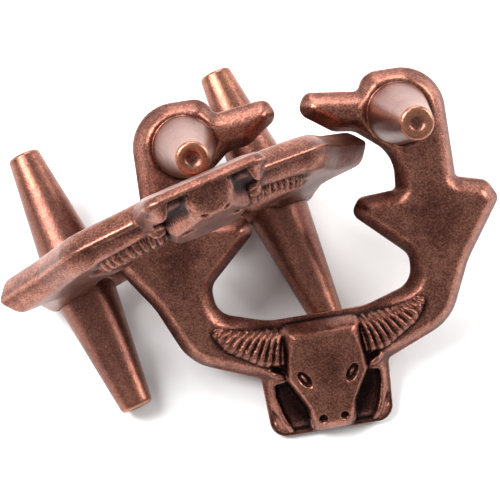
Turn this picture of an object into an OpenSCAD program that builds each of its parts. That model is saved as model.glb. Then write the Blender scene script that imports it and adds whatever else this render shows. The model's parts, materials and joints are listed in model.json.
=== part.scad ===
// Ring disentanglement puzzle: two identical cast U-shaped rings, threaded on each other.
// Each ring is a flat casting with a bull's head in relief at the bottom, a bird-like head on
// each arm, an inner and an outer spike on each arm, and one double-tapered pin through each head.
// Piece frame: x across the ring, y from the muzzle end up to the bird heads, z out of the relief side.

/* [Plate] */
// half of the plate thickness, mid-plane ridge to face
half_thick = 2.4; // [2.0:0.1:2.8]
// how far each face is set in from the mid-plane ridge by the casting draft
draft_inset = 1.5; // [1.3:0.05:1.55]
// how far the back of the muzzle, carried on to y = 0, stands behind the mid-plane
muzzle_back = 0.7; // [0.6:0.05:1.2]
// slope of the back of the muzzle
back_slope_angle = 10.8; // [9:0.2:14]

/* [Pins] */
// distance of each pin axis from the centre line of the ring
pin_x = 14.1; // [13.8:0.1:14.4]
// height of the pin axes above the muzzle end
pin_y = 41.1; // [40.8:0.1:41.4]
// radius of the straight middle of a pin, pressed into the head
pin_r = 4.05; // [3.8:0.05:4.15]
// radius of a pin at its tips
pin_tip_r = 2.2; // [1.8:0.1:2.6]
// half of the whole length of a pin
pin_half_len = 18.5; // [16:0.5:19]
// rounding of the edge round a pin's end face
pin_edge_r = 0.55; // [0.3:0.05:0.8]
// radius of the shallow dimple in a pin's end face
dimple_r = 1.05; // [0.8:0.05:1.2]
// depth of that dimple
dimple_depth = 0.25; // [0.1:0.05:0.4]

/* [Bull head] */
// height of the forehead above the plate face
brow_h = 1.9; // [1.4:0.1:2.2]
// height of the nose pad above the plate face
nose_h = 1.2; // [0.8:0.1:1.5]
// height of the horns above the plate face
horn_h = 1.0; // [0.7:0.1:1.3]
// ribs along each horn
horn_ribs = 10; // [8:1:11]
// depth of the cheek hollows below the plate face
cheek_depth = 0.8; // [0.4:0.1:1.2]
// nostril radius
nostril_r = 0.55; // [0.4:0.05:0.65]

/* [Placing of ring A] */
// lean of ring A back from lying flat
a_lean = 25.98; // [25.5:0.02:26.5]
// sideways roll of ring A
a_roll = -1.27; // [-1.6:0.01:-1]
// where ring A's muzzle end stands, across
a_x = 7.63; // [7.5:0.01:7.8]
// where ring A's muzzle end stands, front to back
a_y = -24.83; // [-24.95:0.01:-24.7]
// height of the origin of ring A
a_z = 0.40; // [0.3:0.01:0.6]

/* [Placing of ring B] */
// lean of ring B, standing on its two bird heads
b_lean = -100.1; // [-100.3:0.1:-99.9]
// turn of ring B about the upright
b_turn = -164.37; // [-164.7:0.01:-164.1]
// where ring B's muzzle end is, across
b_x = -6.97; // [-7.1:0.01:-6.8]
// where ring B's muzzle end is, front to back
b_y = -3.14; // [-3.3:0.01:-3]
// height of ring B's muzzle end
b_z = 46.12; // [46.05:0.01:46.2]

/* [Hidden] */
$fn = 48;

corner_steps = 3;
// how deep the parts of the relief are rooted in the plate
root = 0.3;
// spare length of a cutting tool past the face it cuts
spare = 1;
copper = [0.45, 0.27, 0.22];
pin_copper = [0.66, 0.47, 0.40];

// Right half of the mid-plane outline, from the middle of the muzzle end round the outside to the
// middle of the opening: corner x, corner y, corner radius.
half_outline = [
  [8.15, 0.75, 2.2],    // muzzle corner
  [8.55, 8.95, 0.8],    // where the muzzle meets the lower arm
  [17.5, 12.6, 7.0],    // outside of the lower arm
  [20.9, 20.3, 9.0],    // hollow below the wing
  [26.1, 27.9, 1.3],    // wing tip
  [24.8, 30.4, 2.0],    // top of the wing
  [20.75, 31.5, 0.7],   // wing meets the neck
  [20.6, 46.85, 5.9],   // back of the head
  [10.4, 46.85, 2.6],   // forehead of the bird
  [9.5, 44.55, 0.8],    // forehead meets the beak
  [2.5, 45.45, 1.4],    // top of the beak tip
  [1.2, 42.9, 1.6],     // front of the beak tip
  [5.6, 39.75, 2.4],    // under the beak
  [8.3, 39.4, 2.4],     // throat
  [12.95, 35.6, 5.0],   // front of the neck
  [12.6, 31.0, 0.7],    // neck meets the inner spike
  [7.7, 30.75, 1.2],    // top of the spike tip
  [6.3, 28.7, 1.4],     // front of the spike tip
  [13.2, 22.2, 2.2],    // hollow under the spike
  [12.95, 18.5, 2.8],   // corner of the opening
  [6.5, 16.45, 9.0]     // bottom of the opening
];

function mirrored(half) = [for (i = [len(half) - 1 : -1 : 0]) [-half[i][0], half[i][1], half[i][2]]];
outline = concat(half_outline, mirrored(half_outline));

function unit2(v) = v / norm(v);
function xy(c) = [c[0], c[1]];
function left_of(d) = [-d[1], d[0]];

// A corner of an outline moved inwards by d, with its rounding changed to match.
function inset_corner(c, i, d) =
  let (
    n = len(c),
    a = unit2(xy(c[i]) - xy(c[(i + n - 1) % n])),
    b = unit2(xy(c[(i + 1) % n]) - xy(c[i])),
    turn = a[0] * b[1] - a[1] * b[0],
    p = xy(c[i]) + (left_of(a) + left_of(b)) * d / (1 + a * b),
    r = turn > 0 ? max(c[i][2] - d, 0.2) : c[i][2] + d
  ) [p[0], p[1], r];

// The points of an outline whose corners are rounded, moved inwards by d.
function rounded_loop(c, d) =
  let (m = [for (i = [0 : len(c) - 1]) inset_corner(c, i, d)], n = len(c))
  [for (i = [0 : n - 1])
    let (
      p = xy(m[i]),
      a = unit2(p - xy(m[(i + n - 1) % n])),
      b = unit2(xy(m[(i + 1) % n]) - p),
      turn = a[0] * b[1] - a[1] * b[0],
      bend = acos(max(-1, min(1, a * b))),
      side = turn > 0 ? 1 : -1,
      reach = m[i][2] * tan(bend / 2),
      start = p - a * reach,
      centre = start + left_of(a) * side * m[i][2]
    )
    for (k = [0 : corner_steps])
      let (w = side * bend * k / corner_steps, s = start - centre)
      centre + [s[0] * cos(w) - s[1] * sin(w), s[0] * sin(w) + s[1] * cos(w)]
  ];

// Flat faces across an outline, between point p and point sum - p, for p from first to last.
function strip(first, last, sum) = [for (p = [first : last - 1]) [p, p + 1, sum - p - 1, sum - p]];

// A solid through a stack of outlines with the same number of points: levels are [z, inset], and
// caps are the faces that close the bottom and the top.
module drafted(corners, levels, caps) {
  loops = [for (l = levels) [for (p = rounded_loop(corners, l[1])) [p[0], p[1], l[0]]]];
  n = len(loops[0]);
  top = len(levels) - 1;
  walls = [for (j = [0 : top - 1]) for (i = [0 : n - 1])
    [j * n + i, (j + 1) * n + i, (j + 1) * n + (i + 1) % n, j * n + (i + 1) % n]];
  lids = [for (c = caps) [for (i = [len(c) - 1 : -1 : 0]) top * n + c[i]]];
  polyhedron(points = [for (l = loops) each l], faces = concat(caps, walls, lids));
}

module both_sides() {
  children();
  mirror([1, 0, 0]) children();
}

// The plate's flat faces run in a strip up each arm, from the outside of the ring to the opening,
// and in a fan across the muzzle.
per_corner = corner_steps + 1;
n_half = per_corner * len(half_outline);
arm_first = per_corner;
arm_sum = n_half + per_corner - 1;
arm_last = (arm_sum - 1) / 2;
left_shift = 2 * n_half - 1 - arm_sum;
muzzle_fan = concat(
  [n_half - 1, n_half, 2 * n_half - 1 - per_corner],
  [for (i = [2 * n_half - per_corner : 2 * n_half - 1]) i],
  [for (i = [0 : per_corner]) i]
);
plate_caps = concat(
  strip(arm_first, arm_last, arm_sum),
  strip(left_shift + arm_last + 1, left_shift + n_half - 1, 2 * left_shift + arm_sum),
  [muzzle_fan]
);

module plate() {
  drafted(outline, [[-half_thick, draft_inset], [0, 0], [half_thick, draft_inset]], plate_caps);
}

// Forehead and muzzle of the bull, narrowing to the nose.
skull = [
  [2.75, 0.9, 0.4], [3.1, 4.6, 1.5], [5.25, 8.6, 0.8], [5.0, 12.6, 2.0], [4.75, 15.3, 1.2],
  [-4.75, 15.3, 1.2], [-5.0, 12.6, 2.0], [-5.25, 8.6, 0.8], [-3.1, 4.6, 1.5], [-2.75, 0.9, 0.4]
];
n_skull = per_corner * len(skull);
skull_caps = strip(0, n_skull / 2 - 1, n_skull - 1);
skull_top = 15.3;
skull_half_w = 6;
skull_draft = 0.5;
nose_y = 3;
face_slope = atan((brow_h - nose_h) / (skull_top - nose_y));
module skull_relief() {
  difference() {
    translate([0, 0, half_thick])
      drafted(skull, [[-root, 0], [brow_h, skull_draft]], skull_caps);
    translate([-skull_half_w, skull_top, half_thick + brow_h])
      rotate([face_slope, 0, 0])
        translate([0, -skull_top, 0])
          cube([2 * skull_half_w, skull_top, brow_h]);
  }
}

// Nose pad: a rounded swelling at the bottom of the muzzle, kept inside the casting's end wall.
nose_pad_foot_r = 2.6;
nose_pad_r = 2.1;
nose_pad_rise = 0.2;
module nose_pad() {
  translate([0, nose_y, half_thick - root])
    cylinder(h = root + nose_h + nose_pad_rise, r1 = nose_pad_foot_r, r2 = nose_pad_r);
}

// The back of the muzzle slopes off towards its end.
slope_half_w = 9;
slope_start = -3;
slope_run = 14;
slope_block_h = 6;
module back_slope() {
  translate([0, 0, -muzzle_back])
    rotate([-back_slope_angle, 0, 0])
      translate([-slope_half_w, slope_start, -slope_block_h])
        cube([2 * slope_half_w, slope_run, slope_block_h]);
}

eye_x = 3.15;
eye_y = 8.6;
eye_tilt = -33;
eye_z = half_thick + brow_h - (skull_top - eye_y) * tan(face_slope);
socket_depth = 0.45;
socket_arc_r = 1.5;
socket_arc_offset = 0.85;
eyeball_r = 0.5;
eyeball_dome_r = 0.85;
eyeball_drop = 0.1;
// Almond-shaped socket, the overlap of two circles, with a raised eyeball in it.
module eye_socket() {
  translate([eye_x, eye_y, eye_z - socket_depth])
    rotate([0, 0, eye_tilt])
      intersection() {
        translate([socket_arc_offset, 0, 0]) cylinder(h = socket_depth + spare, r = socket_arc_r);
        translate([-socket_arc_offset, 0, 0]) cylinder(h = socket_depth + spare, r = socket_arc_r);
      }
}
module eyeball() {
  intersection() {
    translate([eye_x, eye_y, eye_z - eyeball_drop - eyeball_dome_r]) sphere(r = eyeball_dome_r);
    translate([eye_x, eye_y, eye_z - socket_depth - root]) cylinder(h = spare, r = eyeball_r);
  }
}

nostril_x = 1.4;
nostril_depth = 0.6;
module nostril() {
  translate([nostril_x, nose_y, half_thick + nose_h + nose_pad_rise - nostril_depth])
    cylinder(h = nostril_depth + spare, r = nostril_r);
}

// Horn lying along the lower arm, from its root beside the forehead to its tip.
horn = [
  [4.8, 10.3, 0.6], [8.2, 10.9, 4.0], [12.9, 13.9, 3.0], [14.4, 16.6, 0.4],
  [9.6, 15.3, 6.0], [4.8, 14.9, 0.6]
];
rib_w = 0.5;
rib_rise = 0.35;
rib_length = 6;
// The middle line of the horn and the lean of its ribs, from t = 0 at the root to t = 1 at the tip.
horn_root = [5.7, 12.6];
horn_run = [7.9, 0.2];
horn_curl = [0, 2.9];
root_lean = 100;
tip_lean = 142;
function horn_mid(t) = horn_root + horn_run * t + horn_curl * t * t;
function horn_lean(t) = root_lean + (tip_lean - root_lean) * t;
module horn_shape() {
  polygon(rounded_loop(horn, 0));
}
module rib_shape(t) {
  translate(horn_mid(t))
    rotate(horn_lean(t))
      square([rib_length, rib_w], center = true);
}
module horn_relief() {
  translate([0, 0, half_thick - root])
    linear_extrude(root + horn_h - rib_rise)
      horn_shape();
  translate([0, 0, half_thick])
    linear_extrude(horn_h)
      intersection() {
        horn_shape();
        for (i = [0 : horn_ribs - 1]) rib_shape((i + 0.5) / horn_ribs);
      }
}

// Ear: a small tapered lobe that leans out from the side of the head.
ear_root = [5.9, 9.0];
ear_lean = 25;
ear_length = 1.6;
ear_root_r = 0.5;
ear_tip_r = 0.8;
ear_sink = 0.2;
module ear() {
  translate([ear_root[0], ear_root[1], half_thick - ear_sink])
    rotate([0, 90, ear_lean]) {
      cylinder(h = ear_length, r1 = ear_root_r, r2 = ear_tip_r);
      translate([0, 0, ear_length]) sphere(r = ear_tip_r);
    }
}

// Hollow beside the muzzle.
cheek = [
  [3.3, 4.2, 0.4], [3.0, 1.9, 0.2], [5.1, 1.9, 0.3], [6.3, 3.9, 0.6], [6.9, 6.2, 0.6],
  [6.9, 7.9, 0.4], [5.2, 7.7, 0.4]
];
module cheek_hollow() {
  translate([0, 0, half_thick - cheek_depth])
    linear_extrude(cheek_depth + spare)
      polygon(rounded_loop(cheek, 0));
}

module casting() {
  difference() {
    union() {
      difference() {
        plate();
        back_slope();
        both_sides() cheek_hollow();
      }
      skull_relief();
      nose_pad();
      both_sides() {
        horn_relief();
        ear();
      }
    }
    both_sides() {
      translate([pin_x, pin_y, -half_thick - spare]) cylinder(h = 2 * (half_thick + spare), r = pin_r);
      eye_socket();
      nostril();
    }
  }
  both_sides() eyeball();
}

// One double-tapered pin, turned as a whole: straight in the head, tapered to both tips.
edge_steps = 4;
tip_flat_r = pin_tip_r - pin_edge_r;
dimple_floor_r = 0.7 * dimple_r;
tip_half = concat(
  [[pin_r, half_thick]],
  [for (k = [0 : edge_steps])
    let (w = 90 * k / edge_steps)
    [tip_flat_r + pin_edge_r * cos(w), pin_half_len - pin_edge_r * (1 - sin(w))]],
  [[dimple_r, pin_half_len], [dimple_floor_r, pin_half_len - dimple_depth], [0, pin_half_len - dimple_depth]]
);
pin_profile = concat(
  [for (i = [len(tip_half) - 1 : -1 : 0]) [tip_half[i][0], -tip_half[i][1]]],
  tip_half
);
module pin(side) {
  translate([side * pin_x, pin_y, 0])
    rotate_extrude()
      polygon(pin_profile);
}

module on_ring_a() {
  translate([a_x, a_y, a_z])
    rotate([a_lean, a_roll, 0])
      children();
}

module on_ring_b() {
  translate([b_x, b_y, b_z])
    rotate([b_lean, 0, b_turn])
      children();
}

module ring_a_casting() {
  color(copper) on_ring_a() casting();
}
module ring_a_pin_left() {
  color(pin_copper) on_ring_a() pin(-1);
}
module ring_a_pin_right() {
  color(pin_copper) on_ring_a() pin(1);
}
module ring_b_casting() {
  color(copper) on_ring_b() casting();
}
module ring_b_pin_left() {
  color(pin_copper) on_ring_b() pin(-1);
}
module ring_b_pin_right() {
  color(pin_copper) on_ring_b() pin(1);
}

ring_a_casting();
ring_a_pin_left();
ring_a_pin_right();
ring_b_casting();
ring_b_pin_left();
ring_b_pin_right();
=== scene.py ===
import json
import math

import bpy
import numpy as np
from mathutils import Matrix, Vector
from mathutils.geometry import delaunay_2d_cdt
from mathutils.kdtree import KDTree


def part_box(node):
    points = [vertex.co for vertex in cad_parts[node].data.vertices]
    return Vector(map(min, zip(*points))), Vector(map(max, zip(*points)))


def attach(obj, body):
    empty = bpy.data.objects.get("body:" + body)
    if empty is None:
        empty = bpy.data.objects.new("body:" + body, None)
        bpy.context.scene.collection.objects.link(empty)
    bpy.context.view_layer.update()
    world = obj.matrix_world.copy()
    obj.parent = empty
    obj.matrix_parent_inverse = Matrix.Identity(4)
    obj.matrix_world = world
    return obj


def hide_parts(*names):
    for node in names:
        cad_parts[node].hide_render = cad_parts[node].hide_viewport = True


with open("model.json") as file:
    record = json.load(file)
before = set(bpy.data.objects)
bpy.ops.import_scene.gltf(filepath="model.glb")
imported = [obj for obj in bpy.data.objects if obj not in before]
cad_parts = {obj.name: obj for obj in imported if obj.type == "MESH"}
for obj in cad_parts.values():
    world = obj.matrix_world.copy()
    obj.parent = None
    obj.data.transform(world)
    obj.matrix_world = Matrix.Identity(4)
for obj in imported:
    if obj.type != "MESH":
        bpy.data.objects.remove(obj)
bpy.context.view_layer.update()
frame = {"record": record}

# All sizes are in millimetres in a ring's own frame: x across the ring, y from the muzzle end up to
# the bird heads, z out of the relief side. Meshes are scaled to metres when they are made.
MM = 0.001

# Plate: its drafted wall rises from the mid-plane ridge and turns into the face with a fillet.
HALF_THICK = 2.4
DRAFT_SLOPE = 1.6
FACE_FILLET = 1.15
TIP_ROUND = 0.5
RIDGE_ROUND = 0.1

# Back of the muzzle: how far behind the mid-plane it stands at y = 0, its slope and its half width
MUZZLE_BACK = 0.7
BACK_SLOPE = math.tan(math.radians(10.8))
BACK_HALF_W = 8.8
BACK_EDGE_W = 9.2
BACK_FILLET = 0.3

# Pins
PIN_X = 14.1
PIN_Y = 41.1
PIN_R = 4.05
PIN_TIP_R = 2.2
PIN_HALF_LEN = 18.5
PIN_EDGE_R = 0.55
DIMPLE_R = 1.05
DIMPLE_DEPTH = 0.25

# Crease round the foot of each pin, and the low swelling outside it
FOOT_CREASE = 0.16
FOOT_CREASE_W = 0.22
FOOT_SWELL = 0.1
FOOT_SWELL_AT = 0.7
FOOT_SWELL_W = 0.5

# Bull's head: heights above the plate's face, depths below it
BROW_RISE = 1.9
NOSE_RISE = 1.2
SKULL_TOP_Y = 15.3
TEMPLE_FALL = 0.3
TEMPLE_X = 5
NOSE_FALL = 0.75
NOSE_HALF_W = 2.4
NOSE_SWELL = 0.15
NOSE_SWELL_Y = 2.2
EYE = (3.15, 8.6)
EYE_LEAN = 57
SOCKET_SIZE = (1.3, 0.66)
SOCKET_DEPTH = 0.55
EYEBALL_SIZE = (0.75, 0.36)
EYEBALL_RISE = 0.3
NOSTRIL = (1.4, 3.0)
NOSTRIL_R = 0.6
NOSTRIL_DEPTH = 0.6
EAR = (6.55, 9.45)
EAR_LEAN = 27
EAR_SIZE = (1.4, 0.62)
EAR_RISE = 0.75
EAR_FOLD = (6.3, 10.0)
EAR_FOLD_SIZE = (1.1, 0.35)
EAR_FOLD_DEPTH = 0.35
CHEEK_DEPTH = 0.95
FACET_DEPTH = 0.6
CREASE_DEPTH = 0.35
CREASE_AT = 0.36
CREASE_W = 0.12

# Horn: its middle line runs from the root, and its ribs lean over more towards the tip.
HORN_RISE = 1.05
HORN_WALL = 1.2
HORN_RIBS = 8.8
HORN_ROOT = (5.7, 12.6)
HORN_RUN = (7.9, 0.2)
HORN_CURL = 2.9
ROOT_LEAN = 100
LEAN_GAIN = 42
RIB_BOW = 0.05
GROOVE_DEPTH = 0.5
GROOVE_SHARPNESS = 2.5

# Ground round the horns, sunk a little into the face
SUNK_DEPTH = 0.32

# Mesh spacing
OUTLINE_STEP = 0.2
RELIEF_STEP = 0.1
HEAD_STEP = 0.14
PLAIN_STEP = 0.5
HEAD_MARGIN = 0.24
PLAIN_MARGIN = 2.5
HEAD_REACH_X = 15.6
HEAD_REACH_Y = 18.2
RING_HALF_W = 28
RING_TOP_Y = 48
BORE_POINTS = 120
PIN_POINTS = 96
CONE_ROWS = 28
WALL_RINGS = (0.03, 0.08, 0.16, 0.34, 0.6, 0.9, 1.1, 1.25, 1.4, 1.55, 1.7, 1.85, 2.05, 2.3)
FOOT_RINGS = (0.15, 0.35, 0.6, 0.9)
SKULL_ROWS = (-0.19, -0.06, 0.08, 0.26, 0.5)
HORN_ROWS = (-0.24, -0.08, 0.1, 0.35)
CHEEK_ROWS = (-0.12, 0.08, 0.28)

# Wear and painted shade: a plain face has PLAIN_WEAR, hollows have less, dark with patina and painted shade,
# and edges more, rubbed bright.
WEAR_CELL = 0.12
PLAIN_WEAR = 0.45
RIDGE_WEAR = 0.22
MOST_RUBBED = 0.14
FINE_CELLS = 2.5
BROAD_CELLS = 16

# Colours from the darkest hollow, dark with patina and painted shade, to the most rubbed edge: wear and shade
# level, red, green, blue
CAST_STOPS = [
    (0.0, 0.012, 0.006, 0.006), (0.3, 0.05, 0.02, 0.017), (0.5, 0.15, 0.057, 0.042),
    (0.68, 0.32, 0.135, 0.095), (1.0, 0.62, 0.32, 0.23)
]
PIN_STOPS = [
    (0.0, 0.03, 0.012, 0.012), (0.3, 0.07, 0.029, 0.025), (0.5, 0.19, 0.077, 0.058),
    (0.7, 0.38, 0.16, 0.1), (1.0, 0.66, 0.32, 0.19)
]

# Right half of the mid-plane outline, from the muzzle corner round the outside to the opening:
# corner x, corner y, corner radius.
HALF_OUTLINE = [
    (8.15, 0.75, 2.2),    # muzzle corner
    (8.55, 8.95, 0.8),    # where the muzzle meets the lower arm
    (17.5, 12.6, 7.0),    # outside of the lower arm
    (20.9, 20.3, 9.0),    # hollow below the wing
    (26.1, 27.9, 1.3),    # wing tip
    (24.8, 30.4, 2.0),    # top of the wing
    (20.75, 31.5, 0.7),   # wing meets the neck
    (20.6, 46.85, 5.9),   # back of the head
    (10.4, 46.85, 2.6),   # forehead of the bird
    (9.5, 44.55, 0.8),    # forehead meets the beak
    (2.5, 45.45, 1.4),    # top of the beak tip
    (1.2, 42.9, 1.6),     # front of the beak tip
    (5.6, 39.75, 2.4),    # under the beak
    (8.3, 39.4, 2.4),     # throat
    (12.95, 35.6, 5.0),   # front of the neck
    (12.6, 31.0, 0.7),    # neck meets the inner spike
    (7.7, 30.75, 1.2),    # top of the spike tip
    (6.3, 28.7, 1.4),     # front of the spike tip
    (13.2, 22.2, 2.2),    # hollow under the spike
    (12.95, 18.5, 2.8),   # corner of the opening
    (6.5, 16.45, 9.0),    # bottom of the opening
]

# Right half of the bull's forehead and muzzle, then a horn, a cheek hollow and the small facet
# outside it, all as corner x, corner y, corner radius.
HALF_SKULL = [(2.75, 0.9, 0.6), (3.1, 4.6, 1.5), (5.25, 8.6, 0.8), (5.0, 12.6, 2.0), (4.75, 15.3, 0.8)]
HORN = [
    (5.2, 10.6, 0.8), (8.2, 11.1, 4.0), (12.6, 13.9, 3.0),
    (14.5, 16.9, 0.5), (9.6, 15.7, 6.0), (5.2, 15.2, 0.6)
]
CHEEK = [
    (3.15, 4.6, 1.5), (2.8, 1.15, 0.2), (5.3, 1.15, 0.3), (6.5, 3.9, 0.8),
    (7.15, 6.4, 0.6), (7.1, 8.2, 0.4), (5.25, 8.45, 0.3)
]
FACET = [(5.7, 1.0, 0.2), (7.2, 1.6, 0.5), (7.9, 3.0, 0.5), (7.9, 5.2, 0.2), (6.95, 3.8, 0.4)]


def mirrored(half):
    """A closed outline from its right half."""
    return half + [(-x, y, radius) for x, y, radius in reversed(half)]


def unit(v):
    return v / np.linalg.norm(v)


def left_of(v):
    return np.array([-v[1], v[0]])


def folded_over(points):
    """The points with the left half of the ring folded over onto the right half."""
    return np.stack([np.abs(points[:, 0]), points[:, 1]], axis=1)


def along_loop(loop):
    """The step from the point before to the point after, at each point of a closed loop."""
    return np.roll(loop, -1, axis=0) - np.roll(loop, 1, axis=0)


def inward_of(loop):
    """The unit direction into an anticlockwise loop at each of its points."""
    along = along_loop(loop)
    return left_of((along / np.linalg.norm(along, axis=1)[:, None]).T).T


def from_pin(points, side):
    """How far each point is from the axis of the left (-1) or right (1) pin."""
    return np.hypot(points[:, 0] - side * PIN_X, points[:, 1] - PIN_Y)


def grid_points(gx, gy):
    return np.stack([gx.ravel(), gy.ravel()], axis=1)


def rounded_outline(corners, step):
    """Points about step apart along a closed anticlockwise outline with rounded corners."""
    points = []
    for i, (x, y, radius) in enumerate(corners):
        here = np.array([x, y])
        before = unit(here - np.array(corners[i - 1][:2]))
        after = unit(np.array(corners[(i + 1) % len(corners)][:2]) - here)
        side = 1 if before[0] * after[1] - before[1] * after[0] > 0 else -1
        bend = math.acos(max(-1.0, min(1.0, float(before @ after))))
        start = here - before * radius * math.tan(bend / 2)
        centre = start + left_of(before) * side * radius
        steps = max(2, math.ceil(radius * bend / step))
        for k in range(steps + 1):
            w = side * bend * k / steps
            arm = start - centre
            points.append(centre + arm * math.cos(w) + left_of(arm) * math.sin(w))
    filled = []
    for i, p in enumerate(points):
        gap = points[(i + 1) % len(points)] - p
        pieces = max(1, round(float(np.linalg.norm(gap)) / step))
        if np.linalg.norm(gap) > 1e-6:
            filled += [p + gap * k / pieces for k in range(pieces)]
    return np.array(filled)


def inside_distance(points, loop):
    """How far each point is from a closed loop of close points, positive inside it."""
    tree = KDTree(len(loop))
    for i, p in enumerate(loop):
        tree.insert((p[0], p[1], 0), i)
    tree.balance()
    nearest = np.array([tree.find((x, y, 0))[1] for x, y in points.tolist()])
    tangent = along_loop(loop)
    reach = np.linalg.norm(tangent, axis=1)
    tangent /= reach[:, None]
    away = points - loop[nearest]
    along = (away * tangent[nearest]).sum(axis=1)
    inward = away[:, 1] * tangent[nearest, 0] - away[:, 0] * tangent[nearest, 1]
    past = np.maximum(np.abs(along) - reach[nearest] / 4, 0)
    return np.sign(inward) * np.hypot(inward, past)


def soft_min(a, b, width):
    """The smaller of two heights, with the corner between them rounded over width."""
    gap = np.clip(0.5 + 0.5 * (b - a) / width, 0, 1)
    return b + (a - b) * gap - width * gap * (1 - gap)


def smooth_step(value, low, high):
    """A smooth rise from 0 at low to 1 at high, or a fall where low is the higher."""
    t = np.clip((value - low) / (high - low), 0, 1)
    return t * t * (3 - 2 * t)


def bump(points, centre, radius):
    """A round swelling of height 1 that falls to nothing at the radius."""
    r = np.sqrt(((points - np.array(centre)) ** 2).sum(axis=1)) / radius
    return np.where(r < 1, (1 - r * r) ** 2, 0.0)


def stretched(points, centre, angle, length, width):
    """Distance from a centre in units of an ellipse's half length and half width."""
    c = math.cos(math.radians(angle))
    s = math.sin(math.radians(angle))
    x = points[:, 0] - centre[0]
    y = points[:, 1] - centre[1]
    return np.sqrt(((x * c + y * s) / length) ** 2 + ((y * c - x * s) / width) ** 2)


def raised(distance, height, wall):
    """Height of a raised shape at this distance inside its edge: a steep wall, rounded on top."""
    t = np.clip(distance / wall + 0.2, 0, 1)
    return height * (1 - (1 - t) ** 2.4)


def draft_profile(distance):
    """Half thickness of the plate at this distance in from its mid-plane ridge."""
    d = np.maximum(distance, 0)
    return soft_min(DRAFT_SLOPE * np.sqrt(d * (d + 2 * RIDGE_ROUND)), HALF_THICK + 0 * d, FACE_FILLET)


def plate_height(points, distance):
    """The drafted plate's height, with the creases at its narrow tips rounded over."""
    total = draft_profile(distance)
    reach = np.clip(distance * 0.8, 0, TIP_ROUND)
    turns = 6
    for k in range(turns):
        w = 2 * math.pi * k / turns
        aside = points + reach[:, None] * np.array([math.cos(w), math.sin(w)])
        total = total + draft_profile(inside_distance(aside, RIDGE))
    return total / (turns + 1)


def skull_height(folded):
    """Forehead and muzzle of the bull with its eyes and nostrils; folded points have x positive."""
    x, y = folded[:, 0], folded[:, 1]
    nose_y = NOSTRIL[1]
    crown = NOSE_RISE + (BROW_RISE - NOSE_RISE) * (y - nose_y) / (SKULL_TOP_Y - nose_y)
    crown = crown - TEMPLE_FALL * (x / TEMPLE_X) ** 2
    crown = crown - NOSE_FALL * (x / NOSE_HALF_W) ** 4 * smooth_step(y, 4.5, 1.8)
    steep_at_nose = 0.5 * smooth_step(y, 4.5, 2.0)
    gentle_at_top = 1.6 * smooth_step(y, 11.5, SKULL_TOP_Y)
    wall = 0.9 - steep_at_nose + gentle_at_top
    height = raised(inside_distance(folded, SKULL_LOOP), 1.0, wall) * crown
    socket_edge = stretched(folded, EYE, EYE_LEAN, *SOCKET_SIZE)
    height -= SOCKET_DEPTH * smooth_step(socket_edge, 1.15, 0.7)
    eyeball_edge = stretched(folded, EYE, EYE_LEAN, *EYEBALL_SIZE)
    height += EYEBALL_RISE * smooth_step(eyeball_edge, 1.1, 0.2)
    nostril_edge = stretched(folded, NOSTRIL, 0, NOSTRIL_R, NOSTRIL_R)
    height -= NOSTRIL_DEPTH * smooth_step(nostril_edge, 1.15, 0.6)
    return height


def rib_phase(points):
    """Which rib of the horn a point is on: ribs lean over more and more towards the horn's tip."""
    t = np.linspace(-0.15, 1.15, 80)
    middle_x = HORN_ROOT[0] + HORN_RUN[0] * t
    middle_y = HORN_ROOT[1] + HORN_RUN[1] * t + HORN_CURL * t * t
    lean = np.radians(ROOT_LEAN + LEAN_GAIN * t)
    offset = points[:, None, :] - np.stack([middle_x, middle_y], axis=1)
    past = offset[:, :, 0] * np.sin(lean) - offset[:, :, 1] * np.cos(lean)
    across = offset[:, :, 0] * np.cos(lean) + offset[:, :, 1] * np.sin(lean)
    return t[np.abs(past + RIB_BOW * across ** 2).argmin(axis=1)] * HORN_RIBS


def horn_height(folded):
    """A ribbed horn that lies along the lower arm."""
    distance = inside_distance(folded, HORN_LOOP)
    height = raised(distance, HORN_RISE, HORN_WALL)
    on_horn = distance > -0.3
    phase = rib_phase(folded[on_horn])
    groove = (0.5 + 0.5 * np.cos(2 * math.pi * phase)) ** GROOVE_SHARPNESS
    height[on_horn] -= GROOVE_DEPTH * groove * smooth_step(distance[on_horn], -0.3, 0.1)
    return height


def relief(points):
    """Height of the bull's head above the plain drafted plate."""
    folded = folded_over(points)
    near = (folded[:, 0] < HEAD_REACH_X) & (folded[:, 1] < HEAD_REACH_Y)
    head = folded[near]
    skull = skull_height(head)
    horn = horn_height(head)
    cheek = CHEEK_DEPTH * smooth_step(inside_distance(head, CHEEK_LOOP), -0.1, 0.5)
    facet = FACET_DEPTH * smooth_step(inside_distance(head, FACET_LOOP), -0.1, 0.4)
    ear = EAR_RISE * smooth_step(stretched(head, EAR, EAR_LEAN, *EAR_SIZE), 1.15, 0.35)
    fold = EAR_FOLD_DEPTH * smooth_step(stretched(head, EAR_FOLD, EAR_LEAN, *EAR_FOLD_SIZE), 1.1, 0.2)
    nose = NOSE_SWELL * bump(head, (0, NOSE_SWELL_Y), NOSE_HALF_W)
    low = (skull < 0.02) & (horn < 0.02)
    sunk = SUNK_DEPTH * smooth_step(head[:, 1], 17.6, 15.8) * smooth_step(head[:, 0], 15.4, 13.6)
    height = np.zeros(len(points))
    height[near] = np.maximum(np.maximum(skull, horn), 0) + np.maximum(ear, 0) - fold - cheek - facet + nose
    height[near] -= sunk * low
    return height


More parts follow.
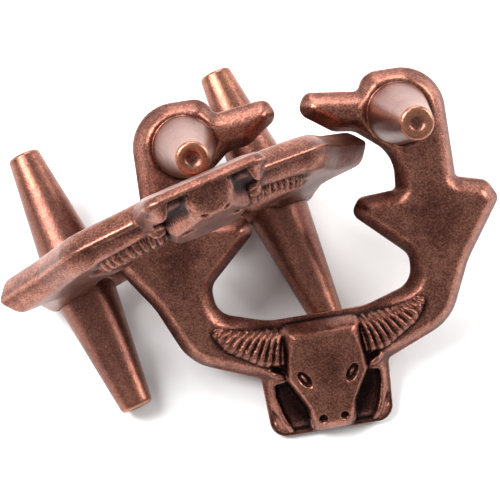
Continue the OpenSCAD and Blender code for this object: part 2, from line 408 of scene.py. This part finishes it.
def shape(points, distance, side):
    """Height of the ring's surface at these points, on the relief side (1) or the back (-1)."""
    plate = plate_height(points, distance)
    from_bore = from_pin(folded_over(points), 1) - PIN_R
    plate = plate - FOOT_CREASE * np.exp(-(from_bore / FOOT_CREASE_W) ** 2)
    plate = plate + FOOT_SWELL * np.exp(-((from_bore - FOOT_SWELL_AT) / FOOT_SWELL_W) ** 2)
    if side < 0:
        muzzle = smooth_step(np.abs(points[:, 0]), BACK_EDGE_W, BACK_HALF_W)
        back = MUZZLE_BACK + BACK_SLOPE * np.maximum(points[:, 1], 0)
        return -(plate + (soft_min(plate, back, BACK_FILLET) - plate) * muzzle)
    end = smooth_step(points[:, 1], 5.0, 2.5) * smooth_step(np.abs(points[:, 0]), 9.5, 8.0)
    crease = CREASE_DEPTH * np.exp(-((distance - CREASE_AT) / CREASE_W) ** 2) * end
    return plate - crease + relief(points) * smooth_step(distance, 0.1, 0.45)


def blurred(grid, cells):
    """The grid smoothed over a number of cells both ways."""
    reach = int(3 * cells)
    weights = np.exp(-0.5 * (np.arange(-reach, reach + 1) / cells) ** 2)
    weights /= weights.sum()
    for axis in (0, 1):
        padded = np.pad(grid, [(reach, reach) if a == axis else (0, 0) for a in (0, 1)], mode="edge")
        count = grid.shape[axis]
        grid = sum(w * np.take(padded, np.arange(k, k + count), axis=axis) for k, w in enumerate(weights))
    return grid


def wear_and_shade_map(side):
    """How dark or bright the casting is painted, as a function of points: from 0 in its hollows, dark with
    patina and painted shade, to 1 on its rubbed edges.
    """
    xs = np.arange(-29, 29, WEAR_CELL)
    ys = np.arange(-3, 50, WEAR_CELL)
    gx, gy = np.meshgrid(xs, ys)
    points = grid_points(gx, gy)
    distance = inside_distance(points, RIDGE)
    height = side * shape(points, distance, side)
    height = np.where(distance < 0, -draft_profile(-distance), height).reshape(gx.shape)
    fine = height - blurred(height, FINE_CELLS)
    broad = height - blurred(height, BROAD_CELLS)

    def wear_and_shade(where, from_ridge):
        i = np.clip(np.round((where[:, 0] - xs[0]) / WEAR_CELL).astype(int), 0, len(xs) - 1)
        j = np.clip(np.round((where[:, 1] - ys[0]) / WEAR_CELL).astype(int), 0, len(ys) - 1)
        inner = smooth_step(from_ridge, 0.3, 0.8)
        # Hollows fall below the plain level, dark with patina and painted shade; edges rise above it, rubbed
        # bright.
        rubbed_and_shaded = np.minimum(1.8 * fine[j, i] + 0.5 * broad[j, i], MOST_RUBBED)
        level = PLAIN_WEAR + inner * rubbed_and_shaded + RIDGE_WEAR * np.exp(-(from_ridge / 0.09) ** 2)
        if side > 0:
            folded = folded_over(where)
            # Nostrils and cheek hollows are painted darker still: patina with painted shade.
            nostril_edge = stretched(folded, NOSTRIL, 0, NOSTRIL_R, NOSTRIL_R)
            level = level - 0.5 * smooth_step(nostril_edge, 1.0, 0.6)
            level = level - 0.22 * smooth_step(inside_distance(folded, CHEEK_LOOP), 0.0, 0.4)
        return np.clip(level, 0, 1)

    return wear_and_shade


RIDGE = rounded_outline(mirrored(HALF_OUTLINE), OUTLINE_STEP)
SKULL_LOOP = rounded_outline(mirrored(HALF_SKULL), RELIEF_STEP)
HORN_LOOP = rounded_outline(HORN, RELIEF_STEP)
CHEEK_LOOP = rounded_outline(CHEEK, RELIEF_STEP)
FACET_LOOP = rounded_outline(FACET, RELIEF_STEP)


def circle(x, y, radius, count):
    """Points round a circle."""
    w = np.linspace(0, 2 * math.pi, count, endpoint=False)
    return np.stack([x + radius * np.cos(w), y + radius * np.sin(w)], axis=1)


BORES = [circle(side * PIN_X, PIN_Y, PIN_R, BORE_POINTS) for side in (-1, 1)]


def mesh_points(side):
    """Points for one face of the casting: the ridge, the bores, rings up the wall and a grid."""
    inward = inward_of(RIDGE)
    loops = []
    for d in WALL_RINGS:
        ring = RIDGE + inward * d
        loops.append(ring[inside_distance(ring, RIDGE) > d - 0.01])
    for d in FOOT_RINGS:
        loops += [circle(x * PIN_X, PIN_Y, PIN_R + d, BORE_POINTS) for x in (-1, 1)]
    rings = np.concatenate(loops)
    if side > 0:
        head = (np.abs(rings[:, 0]) < HEAD_REACH_X) & (rings[:, 1] < HEAD_REACH_Y)
        rings = rings[~head | (inside_distance(rings, RIDGE) < 0.2)]
    grids = [plain_lattice(side > 0)]
    if side > 0:
        grids += head_points()
    free = np.concatenate([rings] + grids)
    for bore in (-1, 1):
        free = free[from_pin(free, bore) > PIN_R + 0.1]
    return np.concatenate([RIDGE] + BORES + [free])


def head_points():
    """Points over the bull's head: rows along the walls of its parts, and a grid between them."""
    grid = lattice(-HEAD_REACH_X, HEAD_REACH_X, HEAD_REACH_Y, HEAD_STEP, HEAD_MARGIN)
    rows = []
    for loop, distances in ((SKULL_LOOP, SKULL_ROWS), (HORN_LOOP, HORN_ROWS), (CHEEK_LOOP, CHEEK_ROWS)):
        away = inside_distance(folded_over(grid), loop)
        grid = grid[np.abs(away[:, None] - np.array(distances)).min(axis=1) > 0.06]
        inward = inward_of(loop)
        for d in distances:
            row = loop + inward * d
            row = row[(np.abs(inside_distance(row, loop) - d) < 0.01) & (row[:, 0] > 0.05)]
            row = row[inside_distance(row, RIDGE) > HEAD_MARGIN]
            rows += [row, row * np.array([-1, 1])]
    return rows + [grid]


def lattice(left, right, top, step, margin):
    """Grid points from y = 0 to the top, at least the margin in from the ridge."""
    gx, gy = np.meshgrid(np.arange(left, right, step), np.arange(0, top, step))
    gx[1::2] += step / 2
    points = grid_points(gx, gy)
    return points[inside_distance(points, RIDGE) > margin]


def plain_lattice(outside_head):
    """A coarse grid over the plain faces, with or without the bull's head."""
    points = lattice(-RING_HALF_W, RING_HALF_W, RING_TOP_Y, PLAIN_STEP, PLAIN_MARGIN)
    if outside_head:
        points = points[(np.abs(points[:, 0]) > HEAD_REACH_X) | (points[:, 1] > HEAD_REACH_Y)]
    return points


def triangulated(points):
    """Triangles between the points, inside the ridge and outside the bores."""
    n = len(RIDGE)
    edges = [(i, (i + 1) % n) for i in range(n)]
    for bore in BORES:
        edges += [(n + i, n + (i + 1) % len(bore)) for i in range(len(bore))]
        n += len(bore)
    result = delaunay_2d_cdt([Vector(p) for p in points], edges, [], 0, 1e-5)
    verts = np.array([tuple(v) for v in result[0]])
    faces = np.array(result[2])
    middle = verts[faces].mean(axis=1)
    keep = inside_distance(middle, RIDGE) > 0
    for side in (-1, 1):
        keep &= from_pin(middle, side) > PIN_R * math.cos(math.pi / BORE_POINTS)
    return verts, faces[keep]


def casting_mesh():
    """The whole casting: its relief face and its back meet at the ridge, with a wall in each bore."""
    all_points, all_faces, all_wear_and_shade = [], [], []
    total = 0
    for side in (1, -1):
        points, faces = triangulated(mesh_points(side))
        distance = inside_distance(points, RIDGE)
        distance[:len(RIDGE)] = 0
        z = shape(points, distance, side)
        z[:len(RIDGE)] = 0
        all_points.append(np.column_stack([points, z]))
        all_faces.append(faces[:, ::side] + total)
        all_wear_and_shade.append(wear_and_shade_map(side)(points, distance))
        total += len(points)
    back = len(all_points[0])
    first = len(RIDGE)
    walls = []
    for bore in BORES:
        for i in range(len(bore)):
            a, b = first + i, first + (i + 1) % len(bore)
            walls += [(b, a, back + a), (b, back + a, back + b)]
        first += len(bore)
    verts = np.concatenate(all_points) * MM
    faces = np.concatenate(all_faces + [np.array(walls)])
    merged = np.arange(total)
    merged[back:back + len(RIDGE)] = np.arange(len(RIDGE))
    return new_mesh("casting", verts, merged[faces], np.concatenate(all_wear_and_shade))


def new_mesh(name, verts, faces, wear_and_shade):
    """A smooth-shaded mesh with a value of wear and painted shade on each point; unused points are left out.
    """
    used = np.unique(faces)
    index = np.full(len(verts), -1)
    index[used] = np.arange(len(used))
    mesh = bpy.data.meshes.new(name)
    mesh.from_pydata(verts[used].tolist(), [], index[faces].tolist())
    mesh.validate()
    mesh.attributes.new("wear_and_shade", "FLOAT", "POINT").data.foreach_set("value", wear_and_shade[used].astype(np.float32))
    mesh.polygons.foreach_set("use_smooth", [True] * len(mesh.polygons))
    mesh.update()
    return mesh


def pin_profile():
    """Radius, height and level of wear and painted shade down one half of a pin, from the middle to the
    dimple in its end.
    """
    rows = [(PIN_R, z, PLAIN_WEAR) for z in (0.0, HALF_THICK / 2, HALF_THICK)]
    flat_r = PIN_TIP_R - PIN_EDGE_R
    start = PIN_HALF_LEN - PIN_EDGE_R
    for k in range(1, CONE_ROWS):
        t = k / CONE_ROWS
        radius = PIN_R + (PIN_TIP_R - PIN_R) * t
        z = HALF_THICK + (start - HALF_THICK) * t
        rows.append((radius, z, 0.5 + 0.1 * t ** 6))
    for k in range(7):
        w = math.pi / 2 * k / 6
        radius = flat_r + PIN_EDGE_R * math.cos(w)
        z = start + PIN_EDGE_R * math.sin(w)
        rows.append((radius, z, 0.56 + 0.12 * math.sin(w)))
    rows.append(((flat_r + DIMPLE_R) / 2 + 0.1, PIN_HALF_LEN, 0.68))
    # The dimple is painted darker towards its middle: patina with painted shade.
    for k in range(8):
        t = 1 - k / 7
        depth = DIMPLE_DEPTH * (1 - t ** 4)
        rows.append((DIMPLE_R * t, PIN_HALF_LEN - depth, 0.4 + 0.2 * t ** 3))
    return rows


def pin_mesh():
    """A double-tapered pin, turned about z."""
    half = pin_profile()
    rows = [(r, -z, w) for r, z, w in reversed(half)] + half[1:]
    count = PIN_POINTS
    verts, faces, wear_and_shade = [], [], []
    for r, z, w in rows:
        for k in range(count):
            a = 2 * math.pi * k / count
            verts.append((r * math.cos(a), r * math.sin(a), z))
            wear_and_shade.append(w)
    for j in range(len(rows) - 1):
        for k in range(count):
            a, b = j * count + k, j * count + (k + 1) % count
            if rows[j][0] > 0:
                faces.append((a, b, b + count))
            if rows[j + 1][0] > 0:
                faces.append((a, b + count, a + count))
    return new_mesh("pin", np.array(verts) * MM, np.array(faces), np.array(wear_and_shade))


def node_centre(name):
    """The middle of a CAD node's box, in metres."""
    low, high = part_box(name)
    return (Vector(low) + Vector(high)) / 2


def ring_place(ring):
    """A ring's placing, from the middles of its two pins and the direction of its mount."""
    left = node_centre(ring + "_pin_left")
    right = node_centre(ring + "_pin_right")
    mount = next(m for m in frame["record"]["mounts"] if m["name"] == ring + "_pin_end")
    across = (right - left).normalized()
    out = Vector(mount["axis"]) * (1 if ring == "ring_a" else -1)
    up = out.cross(across).normalized()
    origin = (left + right) / 2 - up * PIN_Y * MM
    place = Matrix((across, up, across.cross(up))).transposed().to_4x4()
    place.translation = origin
    return place


def socket(node, name):
    """The input of a shader node that has this name and is in use."""
    return next(s for s in node.inputs if s.name == name and s.enabled)


def noise_node(tree, coords, size, detail):
    """Noise with lumps of about this size in millimetres."""
    node = tree.nodes.new("ShaderNodeTexNoise")
    socket(node, "Scale").default_value = 1 / (size * MM)
    socket(node, "Detail").default_value = detail
    tree.links.new(coords.outputs["Object"], socket(node, "Vector"))
    return node.outputs["Fac"]


def scaled(tree, value, factor, offset):
    """value * factor + offset"""
    node = tree.nodes.new("ShaderNodeMath")
    node.operation = "MULTIPLY_ADD"
    tree.links.new(value, node.inputs[0])
    node.inputs[1].default_value = factor
    node.inputs[2].default_value = offset
    return node.outputs[0]


def added(tree, a, b):
    """a + b"""
    node = tree.nodes.new("ShaderNodeMath")
    node.operation = "ADD"
    tree.links.new(a, node.inputs[0])
    tree.links.new(b, node.inputs[1])
    return node.outputs[0]


def ramp(tree, value, stops):
    """Colours along a value, as (position, red, green, blue)."""
    node = tree.nodes.new("ShaderNodeValToRGB")
    elements = node.color_ramp.elements
    while len(elements) < len(stops):
        elements.new(0.5)
    for element, (position, r, g, b) in zip(elements, stops):
        element.position = position
        element.color = (r, g, b, 1)
    tree.links.new(value, node.inputs[0])
    return node.outputs[0]


def antique_copper(name, stops, mottle, roughness, bump_depth):
    """Copper plating darkened in its hollows by patina and painted shade, and rubbed bright on its edges,
    with a cast grain.
    """
    material = bpy.data.materials.new(name)
    material.use_nodes = True
    tree = material.node_tree
    shader = tree.nodes["Principled BSDF"]
    coords = tree.nodes.new("ShaderNodeTexCoord")
    wear_and_shade = tree.nodes.new("ShaderNodeAttribute")
    wear_and_shade.attribute_name = "wear_and_shade"
    grain = noise_node(tree, coords, 0.24, 4)
    patch = noise_node(tree, coords, 1.3, 3)
    cloud = noise_node(tree, coords, 7, 2)
    # The wear value darkens the hollows with patina and painted shade and brightens the rubbed edges.
    level = added(tree, wear_and_shade.outputs["Fac"], scaled(tree, grain, mottle, -mottle / 2))
    level = added(tree, level, scaled(tree, patch, mottle * 0.4, -mottle * 0.2))
    level = added(tree, level, scaled(tree, cloud, mottle * 0.3, -mottle * 0.15))
    tree.links.new(ramp(tree, level, stops), socket(shader, "Base Color"))
    socket(shader, "Metallic").default_value = 1.0
    rough = added(tree, scaled(tree, grain, 0.22, roughness - 0.11), scaled(tree, level, -0.16, 0.08))
    tree.links.new(rough, socket(shader, "Roughness"))
    bumps = tree.nodes.new("ShaderNodeBump")
    bumps.inputs["Strength"].default_value = 0.7
    bumps.inputs["Distance"].default_value = bump_depth * MM
    relief_height = added(tree, scaled(tree, grain, 1.0, 0), scaled(tree, patch, 1.6, 0))
    tree.links.new(relief_height, bumps.inputs["Height"])
    tree.links.new(bumps.outputs["Normal"], socket(shader, "Normal"))
    return material


def add_piece(name, mesh, place, material, body, node):
    """Puts a mesh where its CAD node is, to ride on the node's body in its stead."""
    placed = mesh.copy()
    placed.transform(place)
    placed.materials.append(material)
    piece = bpy.data.objects.new(name, placed)
    bpy.context.scene.collection.objects.link(piece)
    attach(piece, body)
    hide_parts(node)
    return piece


def add_rings():
    """Both rings, each with its casting and two pins."""
    cast_copper = antique_copper("antique_copper_cast", CAST_STOPS, 0.7, 0.38, 0.05)
    pin_copper = antique_copper("antique_copper_pin", PIN_STOPS, 0.5, 0.36, 0.04)
    casting = casting_mesh()
    pin = pin_mesh()
    for ring in ("ring_a", "ring_b"):
        place = ring_place(ring)
        cast = add_piece(ring + "_cast_plate", casting, place, cast_copper, ring, ring + "_casting")
        for side, x in (("left", -PIN_X), ("right", PIN_X)):
            seat = Matrix.Translation((x * MM, PIN_Y * MM, 0))
            stud = add_piece(f"{ring}_stud_{side}", pin, place @ seat, pin_copper, ring, f"{ring}_pin_{side}")


def add_floor():
    """A plain pale floor."""
    mesh = bpy.data.meshes.new("floor")
    half = 1.5
    corners = [(-half, -half, 0), (half, -half, 0), (half, half, 0), (-half, half, 0)]
    mesh.from_pydata(corners, [], [(0, 1, 2, 3)])
    floor = bpy.data.objects.new("floor", mesh)
    bpy.context.scene.collection.objects.link(floor)
    material = bpy.data.materials.new("pale_floor")
    material.use_nodes = True
    shader = material.node_tree.nodes["Principled BSDF"]
    socket(shader, "Base Color").default_value = (0.93, 0.93, 0.93, 1)
    socket(shader, "Roughness").default_value = 0.7
    mesh.materials.append(material)


def add_light(name, place, size, energy):
    """A soft square light that faces the puzzle; place is in metres."""
    data = bpy.data.lights.new(name, "AREA")
    data.size = size
    data.energy = energy
    light = bpy.data.objects.new(name, data)
    bpy.context.scene.collection.objects.link(light)
    light.location = place
    light.rotation_euler = Vector(place).to_track_quat("Z", "Y").to_euler()


def add_studio():
    """A white surround and soft lights, as in a light tent."""
    world = bpy.data.worlds.new("studio")
    world.use_nodes = True
    background = world.node_tree.nodes["Background"]
    background.inputs["Color"].default_value = (1, 1, 1, 1)
    background.inputs["Strength"].default_value = 0.5
    bpy.context.scene.world = world
    bpy.context.scene.view_settings.view_transform = "Standard"
    add_light("key", (-0.3, 0.15, 0.42), 0.3, 5.0)
    add_light("fill", (0.42, 0.1, 0.25), 0.25, 2.2)
    add_light("back", (0.05, 0.5, 0.3), 0.3, 2.5)


def add_camera():
    """A long lens, looking steeply down on the puzzle with a slight roll."""
    elevation = math.radians(71.43)
    azimuth = math.radians(-16.55)
    roll = math.radians(6.98)
    distance = 0.34061
    aim = Vector((-0.00041, -0.00241, 0.015))
    level = math.cos(elevation)
    back = Vector((math.sin(azimuth) * level, -math.cos(azimuth) * level, math.sin(elevation)))
    data = bpy.data.cameras.new("camera")
    data.sensor_width = 36
    data.lens = 189.2
    data.clip_start = 0.01
    camera = bpy.data.objects.new("camera", data)
    bpy.context.scene.collection.objects.link(camera)
    turned = back.to_track_quat("Z", "Y").to_matrix() @ Matrix.Rotation(roll, 3, "Z")
    camera.matrix_world = Matrix.Translation(aim + back * distance) @ turned.to_4x4()
    bpy.context.scene.camera = camera


add_camera()
add_rings()
add_floor()
add_studio()
